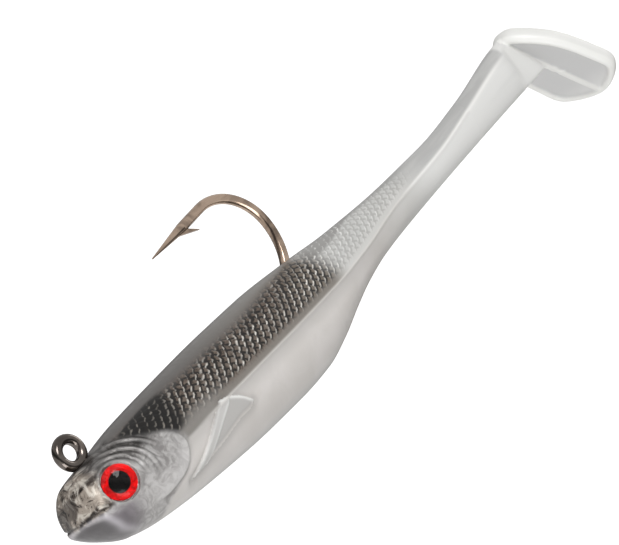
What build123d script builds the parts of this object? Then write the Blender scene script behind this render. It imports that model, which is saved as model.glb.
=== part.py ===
"""Pre-rigged soft swimbait: a soft laminated body moulded round a lead head and a jig hook.

Frame, in millimetres: +X runs from the nose to the tail, +Y is the fish's right side and +Z is its back.
The origin is the centre of the line-tie eye, which is the ring at the front end of the hook wire.
The body is one soft moulding. It is cut at three places where it bends, each a rounded knuckle about a vertical axis.
"""

from build123d import *
import math
import os

# ---- body outlines along X: (x, value) ----
NOSE_X = -6.1
STEM_END_X = 112.0
BACK_LINE = [
    (NOSE_X, -5.4), (-5.3, -3.7), (-3.6, -2.4), (0.0, -1.95), (8.0, -1.0), (17.0, -0.65), (26.0, -0.45),
    (36.0, -0.55), (46.0, -1.25), (56.0, -2.25), (70.0, -2.85), (80.0, -2.8), (92.0, -1.75), (104.0, 0.2), (STEM_END_X, 1.0),
]
BELLY_LINE = [
    (NOSE_X, -7.8), (-5.3, -8.9), (-3.6, -10.7), (-1.0, -12.5), (4.0, -13.7), (14.0, -14.8), (26.0, -15.5),
    (34.0, -15.6), (40.0, -15.3), (45.0, -14.2), (50.0, -12.6), (55.0, -11.2), (61.0, -10.1), (70.0, -9.3),
    (90.0, -8.15), (STEM_END_X, -7.2),
]
HALF_WIDTH = [
    (NOSE_X, 2.3), (-5.3, 4.2), (-3.6, 5.2), (-1.0, 5.7), (4.0, 6.1), (10.0, 6.45), (20.0, 6.6),
    (34.0, 6.3), (46.0, 5.3), (56.0, 4.0), (66.0, 3.1), (80.0, 2.5), (95.0, 2.1), (103.0, 2.0), (STEM_END_X, 0.5),
]
RIDGE_LINE = [
    (NOSE_X, -7.4), (0.0, -7.9), (10.0, -8.1), (20.0, -8.0), (46.0, -7.8), (56.0, -7.2),
    (66.0, -6.0), (80.0, -5.1), (90.0, -3.7), (102.0, -1.8), (STEM_END_X, -1.0),
]
STATIONS = [NOSE_X, -5.3, -3.6, -1.0, 4.0, 10.0, 18.0, 28.0, 38.0, 46.0, 54.0, 62.0, 72.0, 84.0, 94.0, 103.0, STEM_END_X]
BACK_FULLNESS = 0.66
FLANK_FULLNESS = 0.52
BELLY_FULLNESS = 0.62
KEEL_FULLNESS = 0.50

# ---- height of the flat seam between the dark back pour and the pearl belly pour ----
SEAM_Z = -7.9

# ---- jig hook ----
WIRE = 1.4
EYE_RING_RADIUS = 1.75
EYE_LAND_RADIUS = 1.12
NECK_TOP = (0.5, -1.5)
NECK_FOOT_X = 1.5
NECK_BEND = 1.9
SHANK_Z = -4.9
SHANK_END_X = 39.6
BEND_LOW_RADIUS = 9.3
BEND_HIGH_RADIUS = 7.0
BEND_MIDDLE = -45.0
POINT_DROP = 3.7
POINT_LEG = 4.4
POINT_TAPER = 7.2
POINT_TIP = 0.09
BARB_RISE = 1.2
BARB_LENGTH = 2.3
BARB_THICK = 0.5
# How far ahead of the taper the barb is rooted, and its front foot from there: along the point, and inwards.
BARB_ROOT = 0.3
BARB_FOOT = (1.9, 0.2)
FORGED_HALF = 0.58
FORGED_FROM_X = 37.0

# ---- lead head ----
LEAD_Z = -7.2
LEAD_FRONT_X = -3.6
LEAD_REAR_X = 12.0
LEAD_RADIUS = 4.1
LEAD_END_RADIUS = 0.8
LEAD_FULLEST_X = 2.6
# Directions (along, outwards) in which the bullet's outline leaves its front end and meets its rear end.
LEAD_FRONT_RISE = (0.25, 1)
LEAD_REAR_FALL = (0.5, -1)
COLLAR_END_X = 20.0
COLLAR_RADIUS = 1.35
KEEPER_RADIUS = 2.1
KEEPER_LENGTH = 1.8
KEEPER_AT = (14.6, 17.2)

# ---- stick-on 3-D eyes ----
EYE_X, EYE_Y, EYE_Z = -0.9, 5.05, -6.2
EYE_YAW = 28.0
EYE_PITCH = 5.0
EYE_RADIUS = 2.4
IRIS_RADIUS = 2.22
IRIS_THICK = 0.25
PUPIL_RADIUS = 1.35
PUPIL_THICK = 0.10
DOME_EDGE = 0.2
DOME_RISE = 0.75
SOCKET_DEPTH = 0.55
SOCKET_REACH = 6.0

# ---- flash foils ----
FOIL_Y = 3.1
FOIL_THICK = 0.15
FOIL_OUTLINE = [(13.0, -8.6), (13.5, -3.4), (20.0, -2.6), (40.0, -2.8), (50.0, -4.4), (51.0, -8.0), (46.0, -8.6)]

# ---- knuckles where the soft body bends: (x, barrel radius, largest bend in degrees) ----
KNUCKLE_GAP = 0.28
REAR_KNUCKLE = (57.0, 4.2, 25.0)
STEM_KNUCKLE = (80.0, 2.75, 30.0)
PADDLE_KNUCKLE = (100.5, 2.2, 40.0)

# ---- paddle ----
HEEL = (105.8, -0.1)
PADDLE_TILT = 35.0
PADDLE_LENGTH = 19.7
PADDLE_HALF_WIDTH = 6.6
PADDLE_THICK = 2.6
PADDLE_EDGE = [(0.0, 0.0), (0.38, 0.05), (0.86, 0.30), (1.0, 0.62), (0.90, 0.86), (0.0, 1.0)]
DISH_MARGIN = 1.1
DISH_DEPTH = 0.55
RIB_HALF = 0.45

# ---- working sizes ----
FAR = 200.0


def along(outline, x):
    """Value of an outline at x: a smooth curve through its points that doesn't overshoot between them."""
    slopes = [(b[1] - a[1]) / (b[0] - a[0]) for a, b in zip(outline, outline[1:])]
    for i, (a, b) in enumerate(zip(outline, outline[1:])):
        if x <= b[0] or i == len(slopes) - 1:
            before = slopes[max(i - 1, 0)]
            after = slopes[min(i + 1, len(slopes) - 1)]
            start = knot_slope(before, slopes[i])
            end = knot_slope(slopes[i], after)
            span = b[0] - a[0]
            t = min(max((x - a[0]) / span, 0.0), 1.0)
            rest = 1.0 - t
            return (
                (1 + 2 * t) * rest * rest * a[1]
                + t * rest * rest * span * start
                + t * t * (3 - 2 * t) * b[1]
                - t * t * rest * span * end
            )


def knot_slope(left, right):
    """Slope at a point between two spans: their harmonic mean, or level where they turn back."""
    return 0.0 if left * right <= 0 else 2 * left * right / (left + right)


def section(x):
    """Closed outline of the body at x: two upper and two lower curves that meet at the flank ridge."""
    top, bottom = along(BACK_LINE, x), along(BELLY_LINE, x)
    half, ridge = along(HALF_WIDTH, x), along(RIDGE_LINE, x)
    flank = ridge + (top - ridge) * FLANK_FULLNESS
    keel = ridge + (bottom - ridge) * KEEL_FULLNESS
    right_back = Bezier((x, 0, top), (x, half * BACK_FULLNESS, top), (x, half, flank), (x, half, ridge))
    right_belly = Bezier((x, half, ridge), (x, half, keel), (x, half * BELLY_FULLNESS, bottom), (x, 0, bottom))
    left_belly = Bezier((x, 0, bottom), (x, -half * BELLY_FULLNESS, bottom), (x, -half, keel), (x, -half, ridge))
    left_back = Bezier((x, -half, ridge), (x, -half, flank), (x, -half * BACK_FULLNESS, top), (x, 0, top))
    return Wire([right_back, right_belly, left_belly, left_back])


def soft_body():
    """The whole moulding from nose to tail stem, before it is parted."""
    return Solid.make_loft([section(x) for x in STATIONS])


def block(x_low, x_high, z_low=-FAR, z_high=FAR, half_y=FAR):
    """A plain box between two x and two z values, for cutting."""
    return Pos((x_low + x_high) / 2, 0, (z_low + z_high) / 2) * Box(x_high - x_low, 2 * half_y, z_high - z_low)


def barrel(x, radius):
    """An upright cylinder about a knuckle's axis."""
    return Pos(x, 0, 0) * Cylinder(radius, FAR)


def rear_of(solid, knuckle):
    """The piece behind a knuckle, which ends forward in a round barrel."""
    x, radius, _ = knuckle
    return solid & (block(x, FAR) + barrel(x, radius))


def front_of(solid, knuckle):
    """The piece ahead of a knuckle, hollowed for the barrel and cut back so that it clears a full bend."""
    x, radius, bend = knuckle
    lip = x - radius * math.sin(math.radians(bend))
    return solid & block(-FAR, lip) - barrel(x, radius + KNUCKLE_GAP)


def wire_path():
    """Centreline of the hook from under the eye ring, along the shank and round the bend to the point's taper."""
    neck = FilletPolyline(
        (NECK_TOP[0], 0, NECK_TOP[1]), (NECK_FOOT_X, 0, SHANK_Z), (SHANK_END_X, 0, SHANK_Z), radius=NECK_BEND
    )
    heel_x, heel_z = SHANK_END_X + BEND_LOW_RADIUS, SHANK_Z + BEND_LOW_RADIUS
    lower = on_arc(SHANK_END_X, heel_z, BEND_LOW_RADIUS, BEND_MIDDLE)
    low_arc = ThreePointArc((SHANK_END_X, 0, SHANK_Z), lower, (heel_x, 0, heel_z))
    high_x = heel_x - BEND_HIGH_RADIUS
    leave = 90 + POINT_DROP
    high_arc = ThreePointArc(
        (heel_x, 0, heel_z),
        on_arc(high_x, heel_z, BEND_HIGH_RADIUS, leave / 2),
        on_arc(high_x, heel_z, BEND_HIGH_RADIUS, leave),
    )
    leg = Line(high_arc @ 1, high_arc @ 1 + point_direction() * POINT_LEG)
    return Wire([*neck.edges(), low_arc, high_arc, leg])


def on_arc(x, z, radius, degrees):
    """Point at an angle on a circle in the hook's plane."""
    angle = math.radians(degrees)
    return (x + radius * math.cos(angle), 0, z + radius * math.sin(angle))


def point_direction():
    """The way the hook's point looks: forward, and down a little."""
    return Vector(-math.cos(math.radians(POINT_DROP)), 0, -math.sin(math.radians(POINT_DROP)))


def jig_hook():
    """One wire: eye ring, neck, shank, forged bend, barb and needle point."""
    path = wire_path()
    start = Plane(origin=path @ 0, z_dir=path % 0)
    hook = sweep(start * Circle(WIRE / 2), path=path)
    ahead = point_direction()
    point_base = Plane(origin=path @ 1, z_dir=ahead)
    hook += loft([point_base * Circle(WIRE / 2), point_base.offset(POINT_TAPER) * Circle(POINT_TIP)])
    inward = Vector(-ahead.Z, 0, ahead.X)
    root = path @ 1 + ahead * BARB_ROOT
    tip = root - ahead * BARB_LENGTH + inward * (WIRE / 2 + BARB_RISE)
    outline = Polyline(root, root + ahead * BARB_FOOT[0] + inward * BARB_FOOT[1], tip, close=True)
    hook += Solid.extrude(Face(Wire(outline.edges())), Vector(0, BARB_THICK, 0)).moved(Location((0, -BARB_THICK / 2, 0)))
    for side in (1, -1):
        flat = Pos((FORGED_FROM_X + FAR) / 2, side * (FORGED_HALF + WIRE), 0) * Box(FAR - FORGED_FROM_X, 2 * WIRE, FAR)
        hook -= flat
    ring = Torus(EYE_RING_RADIUS, WIRE / 2) - Cylinder(EYE_LAND_RADIUS, 2 * WIRE)
    return hook + Plane.XZ * ring


def lead_head():
    """The cast weight: a bullet-shaped head, blunt at both ends, and a collar with two keeper rings round the shank."""
    front, crown, rear = LEAD_FRONT_X, LEAD_FULLEST_X, LEAD_REAR_X
    rim = Spline(
        (front, LEAD_END_RADIUS), (crown, LEAD_RADIUS), (rear, LEAD_END_RADIUS), tangents=[LEAD_FRONT_RISE, LEAD_REAR_FALL]
    )
    half = Polyline((rear, LEAD_END_RADIUS), (rear, 0), (front, 0), (front, LEAD_END_RADIUS))
    bullet = Pos(0, 0, LEAD_Z) * revolve(Face(Wire([rim, *half.edges()])), Axis.X, 360)
    shank = Plane(origin=(crown, 0, SHANK_Z), z_dir=(1, 0, 0))
    lead = bullet + shank * extrude(Circle(COLLAR_RADIUS), COLLAR_END_X - crown)
    for x in KEEPER_AT:
        step = shank.offset(x - crown)
        lead += loft([step * Circle(KEEPER_RADIUS), step.offset(KEEPER_LENGTH) * Circle(COLLAR_RADIUS)])
    return lead


def eye_plane(side):
    """Plane of an eye's back face, facing out of the head, ahead and up a little. side is +1 right, -1 left."""
    yaw, pitch = math.radians(EYE_YAW), math.radians(EYE_PITCH)
    out = Vector(-math.sin(yaw) * math.cos(pitch), side * math.cos(yaw) * math.cos(pitch), math.sin(pitch))
    centre = Vector(EYE_X, side * EYE_Y, EYE_Z) - out * SOCKET_DEPTH
    return Plane(origin=centre, x_dir=(math.cos(yaw), side * math.sin(yaw), 0), z_dir=out)


def eye_parts(side):
    """Iris disc, pupil disc and the clear dome over them, and the plug that opens their socket."""
    seat = eye_plane(side)
    iris = seat * extrude(Circle(IRIS_RADIUS), IRIS_THICK)
    pupil = seat.offset(IRIS_THICK) * extrude(Circle(PUPIL_RADIUS), PUPIL_THICK)
    rim = IRIS_THICK + DOME_EDGE
    sphere = (EYE_RADIUS**2 + DOME_RISE**2) / (2 * DOME_RISE)
    edge = seat * extrude(Circle(EYE_RADIUS), rim + DOME_RISE)
    cap = edge & (seat.offset(rim + DOME_RISE - sphere) * Sphere(sphere))
    dome = cap - iris - pupil
    plug = seat * extrude(Circle(EYE_RADIUS), SOCKET_REACH)
    return iris, pupil, dome, plug


def flash_foil(side):
    """A thin flash strip set in the flank."""
    points = [(x, side * FOIL_Y, z) for x, z in FOIL_OUTLINE]
    outline = Polyline(*points, close=True)
    return Solid.extrude(Face(Wire(outline.edges())), Vector(0, side * FOIL_THICK, 0))


def paddle_plane():
    """Plane of the paddle's front face: X across, Y down the paddle, and Z out of its back."""
    tilt = math.radians(PADDLE_TILT)
    down = Vector(math.sin(tilt), 0, -math.cos(tilt))
    back = Vector(math.cos(tilt), 0, math.sin(tilt))
    return Plane(origin=(HEEL[0], 0, HEEL[1]), x_dir=down.cross(back), z_dir=back)


def paddle_outline(margin):
    """Egg-shaped outline of the paddle, drawn in by a margin."""
    wide, long = PADDLE_HALF_WIDTH - margin, PADDLE_LENGTH - 2 * margin
    right = [(wide * across, margin + long * down) for across, down in PADDLE_EDGE]
    right_edge = Spline(*right, tangents=[(1, 0), (-1, 0)])
    return Face(Wire([right_edge, mirror(right_edge, Plane.YZ).edge()]))


def paddle():
    """The kicking paddle: a leaning oval plate, dished on the side that faces the head, on the end of the stem."""
    face = paddle_plane()
    plate = face * extrude(paddle_outline(0), PADDLE_THICK)
    dish = face * extrude(paddle_outline(DISH_MARGIN), DISH_DEPTH)
    rib = face * (Pos(0, PADDLE_LENGTH / 2, DISH_DEPTH / 2) * Box(2 * RIB_HALF, PADDLE_LENGTH, DISH_DEPTH))
    return plate - (dish - rib), face


def build():
    """All sub-parts by node name."""
    whole = soft_body()
    hook = jig_hook()
    plate, face = paddle()
    trunk = front_of(whole, REAR_KNUCKLE)
    rear = front_of(rear_of(whole, REAR_KNUCKLE), STEM_KNUCKLE)
    stem = front_of(rear_of(whole, STEM_KNUCKLE), PADDLE_KNUCKLE)
    behind_face = face * (Pos(0, 0, FAR / 2 + PADDLE_THICK / 2) * Box(FAR, FAR, FAR))
    paddle_root = rear_of(whole, PADDLE_KNUCKLE) - behind_face
    parts = {"rear_body": rear, "tail_stem": stem, "paddle_tail": paddle_root + plate, "jig_hook": hook}
    lead = lead_head() - hook
    parts["lead_head"] = lead
    inside = [hook, lead]
    plugs = []
    for name, side in (("left", -1), ("right", 1)):
        iris, pupil, dome, plug = eye_parts(side)
        foil = flash_foil(side)
        parts[f"{name}_iris"] = iris
        parts[f"{name}_pupil"] = pupil
        parts[f"{name}_eye_dome"] = dome
        parts[f"{name}_flash_foil"] = foil
        inside.append(foil)
        plugs.append(plug)
    above = block(-FAR, FAR, SEAM_Z, FAR)
    back, belly = trunk & above, trunk - above
    for solid in inside + plugs:
        back, belly = back - solid, belly - solid
    parts["back_pour"] = back
    parts["belly_pour"] = belly
    return parts


os.makedirs("parts", exist_ok=True)
for node, shape in build().items():
    export_step(shape, f"parts/{node}.step")
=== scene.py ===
import math

import bpy
import numpy as np
from mathutils import Matrix, Vector


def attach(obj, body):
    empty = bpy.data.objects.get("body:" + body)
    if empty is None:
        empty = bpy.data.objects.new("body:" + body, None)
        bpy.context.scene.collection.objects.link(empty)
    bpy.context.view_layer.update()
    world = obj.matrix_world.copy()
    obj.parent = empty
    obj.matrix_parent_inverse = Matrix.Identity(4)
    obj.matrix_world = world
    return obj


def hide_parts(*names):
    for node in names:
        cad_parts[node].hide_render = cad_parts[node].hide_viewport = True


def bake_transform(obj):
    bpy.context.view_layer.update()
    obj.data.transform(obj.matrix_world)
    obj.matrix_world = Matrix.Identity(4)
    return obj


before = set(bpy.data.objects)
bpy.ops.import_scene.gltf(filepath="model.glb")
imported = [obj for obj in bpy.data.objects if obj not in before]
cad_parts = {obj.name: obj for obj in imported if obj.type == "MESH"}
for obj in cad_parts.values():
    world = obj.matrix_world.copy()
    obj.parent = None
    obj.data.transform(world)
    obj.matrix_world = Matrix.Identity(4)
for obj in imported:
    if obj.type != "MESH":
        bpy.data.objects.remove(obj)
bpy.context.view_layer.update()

MM = 0.001

# ---- the body's outlines, in mm, as in the CAD: back, belly, half width and flank ridge against x ----
NOSE_X = -6.1
BACK_LINE = [
    (NOSE_X, -5.4), (-5.3, -3.7), (-3.6, -2.4), (0, -1.95), (8, -1.0), (17, -0.65), (26, -0.45), (36, -0.55),
    (46, -1.25), (56, -2.25), (70, -2.85), (80, -2.8), (92, -1.75), (104, 0.2), (112, 1.0),
]
BELLY_LINE = [
    (NOSE_X, -7.8), (-5.3, -8.9), (-3.6, -10.7), (-1, -12.5), (4, -13.7), (14, -14.8), (26, -15.5), (34, -15.6),
    (40, -15.3), (45, -14.2), (50, -12.6), (55, -11.2), (61, -10.1), (70, -9.3), (90, -8.15), (112, -7.2),
]
HALF_WIDTH = [
    (NOSE_X, 2.3), (-5.3, 4.2), (-3.6, 5.2), (-1, 5.7), (4, 6.1), (10, 6.45), (20, 6.6), (34, 6.3), (46, 5.3),
    (56, 4.0), (66, 3.1), (80, 2.5), (95, 2.1), (101.8, 2.05), (103.2, 1.85), (105.2, 1.15), (112, 0.45),
]
RIDGE_LINE = [
    (NOSE_X, -7.4), (0, -7.9), (10, -8.1), (20, -8.0), (46, -7.8), (56, -7.2), (66, -6.0), (80, -5.1),
    (90, -3.7), (102, -1.8), (112, -1.0),
]
BACK_FULLNESS = 0.66
FLANK_FULLNESS = 0.52
BELLY_FULLNESS = 0.62
KEEL_FULLNESS = 0.50
NOSE_ROUND = 1.0

# ---- where the skins part and bend ----
TRUNK_CUT = 68.5
STEM_CUT = 90.0

# ---- eyes ----
EYE = (-0.9, 5.05, -6.2)
EYE_YAW = math.radians(28.0)
EYE_PITCH = math.radians(5.0)
EYE_RADIUS = 2.4
SOCKET_DEPTH = 0.55
DOME_RISE = 0.75
DOME_FLOOR = 0.37
DOME_TOP = 1.19

# ---- paddle ----
HEEL = (105.8, -0.1)
PADDLE_TILT = math.radians(35.0)
PADDLE_LENGTH = 19.7
PADDLE_HALF_WIDTH = 6.6
PADDLE_THICK = 2.6
PADDLE_EDGE = [(0.0, 0.0), (0.38, 0.05), (0.86, 0.30), (1.0, 0.62), (0.90, 0.86), (0.0, 1.0)]
DISH_MARGIN = 1.1
DISH_DEPTH = 0.55
RIB_HALF = 0.45

# ---- scales ----
SCALE_PITCH = 1.30
SCALE_ROW = 0.80
SCALE_LONG = 1.04
SCALE_HIGH = 0.76

# ---- heights and depths of the surface detail, in mm ----
SCALE_RISE = 0.034
PIT_DEPTH = 0.045
RIDGE_RISE = 0.12
CREASE_DEPTH = 0.06
PLATE_RISE = 0.15
PLATE_STEP = 0.07
FOLD_RISE = 0.13
FOLD_DEPTH = 0.08
MOUTH_DEPTH = 0.28
LIP_RISE = 0.16
FIN_RISE = 0.16
FIN_LEAD_RISE = 0.14
FIN_EDGE_RISE = 0.06
FIN_TOP_RISE = 0.10
FIN_MOAT = 0.12
LID_RISE = 0.10

# ---- how finely the skins are cut, in mm ----
TRUNK_STEP = 0.155
REAR_STEP = 0.19
TAIL_VOXEL = 0.15
TAIL_PASSES = 4
SKIN_UNDER_EYE = 0.12
EYE_REACH = 5.0


def profile(points):
    """A smooth curve through the points that doesn't overshoot, as a function of x."""
    p = np.array(points, float)
    px, py = p[:, 0], p[:, 1]
    s = np.diff(py) / np.diff(px)
    left, right = np.r_[s[0], s], np.r_[s, s[-1]]
    both = np.where(left * right > 0, left + right, 1.0)
    slope = np.where(left * right > 0, 2 * left * right / both, 0.0)

    def value(x):
        x = np.asarray(x, float)
        i = np.clip(np.searchsorted(px, x, side="right") - 1, 0, len(px) - 2)
        span = px[i + 1] - px[i]
        t = np.clip((x - px[i]) / span, 0, 1)
        r = 1 - t
        return (
            (1 + 2 * t) * r * r * py[i] + t * r * r * span * slope[i]
            + t * t * (3 - 2 * t) * py[i + 1] - t * t * r * span * slope[i + 1]
        )

    return value


back_z, belly_z, half_y, ridge_z = (profile(p) for p in (BACK_LINE, BELLY_LINE, HALF_WIDTH, RIDGE_LINE))


def smooth(low, high, v):
    """0 at low, 1 at high, eased between them."""
    t = np.clip((v - low) / (high - low), 0, 1)
    return t * t * (3 - 2 * t)


def bell(v, width):
    """1 where v is 0, and falling off either way within about a width."""
    return np.exp(-((v / width) ** 2))


def nose_shrink(x):
    """How far a section near the nose is drawn in towards its middle, so that the snout is rounded."""
    t = np.clip((x - NOSE_X) / NOSE_ROUND, 0, 1)
    return np.sqrt(np.clip(1 - (1 - t) ** 2, 0.0016, 1))


def upper(x, t, side):
    """Points of the back on one side: t runs from the crown, 0, to the flank ridge, 1."""
    top, half, ridge = back_z(x), half_y(x), ridge_z(x)
    flank = ridge + (top - ridge) * FLANK_FULLNESS
    r = 1 - t
    y = half * (3 * r * r * t * BACK_FULLNESS + 3 * r * t * t + t**3)
    z = top * (r**3 + 3 * r * r * t) + flank * 3 * r * t * t + ridge * t**3
    k = nose_shrink(x)
    return np.stack([x + 0 * t, side * y * k, ridge + (z - ridge) * k], -1)


def lower(x, t, side):
    """Points of the belly on one side: t runs from the flank ridge, 0, to the keel, 1."""
    bottom, half, ridge = belly_z(x), half_y(x), ridge_z(x)
    keel = ridge + (bottom - ridge) * KEEL_FULLNESS
    r = 1 - t
    y = half * (r**3 + 3 * r * r * t + 3 * r * t * t * BELLY_FULLNESS)
    z = ridge * r**3 + keel * 3 * r * r * t + bottom * (3 * r * t * t + t**3)
    k = nose_shrink(x)
    return np.stack([x + 0 * t, side * y * k, ridge + (z - ridge) * k], -1)


def spread(points, each=8):
    """A smooth line through a few points: Catmull-Rom, each span divided."""
    p = np.array(points, float)
    ends = np.vstack([2 * p[0] - p[1], p, 2 * p[-1] - p[-2]])
    out = []
    for i in range(1, len(ends) - 2):
        a, b, c, d = ends[i - 1 : i + 3]
        for t in np.arange(each) / each:
            out.append(
                0.5 * (2 * b + (c - a) * t + (2 * a - 5 * b + 4 * c - d) * t**2 + (3 * b - a - 3 * c + d) * t**3)
            )
    out.append(p[-1])
    return np.array(out)


def to_line(x, z, line):
    """Distance from each point to a line of points, and how far along it the nearest place is, 0 to 1."""
    best = np.full(x.shape, 1e9)
    place = np.zeros(x.shape)
    n = len(line) - 1
    for i in range(n):
        ax, az = line[i]
        bx, bz = line[i + 1]
        dx, dz = bx - ax, bz - az
        t = np.clip(((x - ax) * dx + (z - az) * dz) / (dx * dx + dz * dz + 1e-12), 0, 1)
        d = np.hypot(x - ax - t * dx, z - az - t * dz)
        nearer = d < best
        best = np.where(nearer, d, best)
        place = np.where(nearer, (i + t) / n, place)
    return best, place


def inside(x, z, loop):
    """True for points inside a closed loop."""
    hit = np.zeros(x.shape, bool)
    a = loop
    b = np.roll(loop, -1, axis=0)
    for (ax, az), (bx, bz) in zip(a, b):
        if az == bz:
            continue
        crosses = (az > z) != (bz > z)
        hit ^= crosses & (x < (bx - ax) * (z - az) / (bz - az) + ax)
    return hit


def scatter(a, b):
    """A repeatable value from 0 to 1 for each pair of whole numbers."""
    v = np.sin(a * 12.9898 + b * 78.233) * 43758.5453
    return v - np.floor(v)


def fish_scales(x, h):
    """Overlapping scales, free edges towards the tail: rim (0 middle to 1 free edge), shade just behind an edge,
    and a value of each scale's own."""
    uneven = 0.035 + 0.075 * smooth(2.5, 6.0, h)
    x = x + uneven * (np.sin(2.3 * x + 3.9 * h) + np.sin(4.1 * x - 3.1 * h + 1.3))
    h = h + 0.8 * uneven * (np.sin(3.1 * x - 2.2 * h + 0.7) + np.sin(5.3 * x + 2.7 * h + 2.1))
    rows = np.floor(h / SCALE_ROW)
    front = np.full(x.shape, np.inf)
    rim, own, low = np.zeros(x.shape), np.zeros(x.shape), np.zeros(x.shape)
    found = []
    for dr in (-1, 0, 1):
        row = rows + dr
        stagger = 0.5 * np.mod(row, 2)
        cols = np.floor(x / SCALE_PITCH - stagger)
        for dc in (-2, -1, 0, 1):
            col = cols + dc
            cx, ch = (col + stagger + 0.5) * SCALE_PITCH, (row + 0.5) * SCALE_ROW
            rho = np.hypot((x - cx) / SCALE_LONG, (h - ch) / SCALE_HIGH)
            found.append((cx, rho))
            hit = (rho < 1) & (cx < front)
            front = np.where(hit, cx, front)
            rim = np.where(hit, rho, rim)
            own = np.where(hit, scatter(col, row), own)
            low = np.where(hit, (ch - h) / SCALE_HIGH, low)
    shade = np.zeros(x.shape)
    for cx, rho in found:
        beyond = (rho >= 1) & (cx < front)
        shade = np.maximum(shade, np.where(beyond, 1 - smooth(0.0, 0.50, rho - 1), 0))
    return rim, shade, own, low


# ---- features of the flank, as points (x, z) seen from the side ----
GILL_EDGE = spread([
    (5.6, -4.2), (8.6, -5.6), (9.9, -7.8), (9.0, -9.8), (7.6, -10.9), (5.5, -11.4), (3.1, -11.5), (0.5, -10.8),
])
GILL_LOOP = np.vstack([GILL_EDGE, [(-1.0, -9.0), (2.0, -6.0)]])
FIN_LEAD = spread([(7.8, -12.3), (10.6, -11.3), (13.3, -9.9), (15.8, -8.5), (17.7, -7.5)])
FIN_TOP = spread([(17.7, -7.5), (19.4, -8.0), (21.2, -9.2), (22.4, -10.5)])
FIN_REAR = spread([(22.4, -10.5), (21.4, -11.0), (18.7, -11.1), (15.4, -11.6), (11.7, -12.0), (7.8, -12.3)])
FIN_LOOP = np.vstack([FIN_LEAD, FIN_TOP, FIN_REAR])
FOLDS = [
    spread([(-2.4, -3.1), (-0.4, -2.85), (1.6, -3.6), (3.2, -5.0), (3.7, -6.8)]),
    spread([(-3.2, -3.6), (-1.5, -3.2), (0.6, -3.2), (2.2, -4.2), (2.9, -5.8), (2.8, -7.6)]),
    spread([(-1.6, -2.7), (0.6, -2.6), (2.6, -3.2), (4.0, -4.6), (4.5, -6.4), (4.2, -8.6)]),
    spread([(1.5, -2.1), (3.6, -2.6), (5.3, -4.0), (6.3, -5.8)]),
]
MOUTH = spread([(-7.0, -7.2), (-5.6, -7.2), (-4.9, -7.3), (-4.2, -7.7)])
LIP = spread([(-6.3, -7.5), (-5.6, -7.7), (-4.9, -8.4), (-4.1, -9.4), (-2.8, -10.9), (-1.0, -12.3)])

# Where the head's silvering ends (x against z), the crease behind the hook, the front edge of the lip (x against z),
# half the width of the plain strip on the back, and the height above the ridge where the scales begin.
head_end = profile([
    (-16, 1.0), (-12.5, 3.5), (-11.4, 6.5), (-10.9, 7.6), (-9.8, 9.0), (-7.8, 9.9), (-5.6, 8.4), (-4.2, 6.2),
    (-3.0, 4.6), (-1.5, 3.2), (0, 2.6),
])
crease_at = profile([(46, 4.6), (50, 4.1), (56, 2.4), (62, 0.4), (70, 0.2)])
lip_front = profile([(-14, 0.5), (-12.4, -1.1), (-10.9, -3.0), (-9.2, -4.4), (-8.2, -5.2), (-7.4, -5.9)])
strip_half = profile([
    (-6.1, 1.5), (4, 3.6), (15, 4.5), (21, 4.8), (27, 4.9), (34, 4.4), (41, 3.0), (50, 1.0), (76, 0.7),
])
band_high = profile([
    (4, 0.8), (13, 0.85), (18, 1.1), (24, 1.3), (30, 1.15), (34, 0.95), (40, 0.8), (50, 0.8), (76, 0.7),
])


def eye_frame(side):
    """Centre of an eye, and the direction in which it looks."""
    out = np.array([
        -math.sin(EYE_YAW) * math.cos(EYE_PITCH), side * math.cos(EYE_YAW) * math.cos(EYE_PITCH), math.sin(EYE_PITCH)
    ])
    centre = np.array([EYE[0], side * EYE[1], EYE[2]])
    return centre, out


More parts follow.
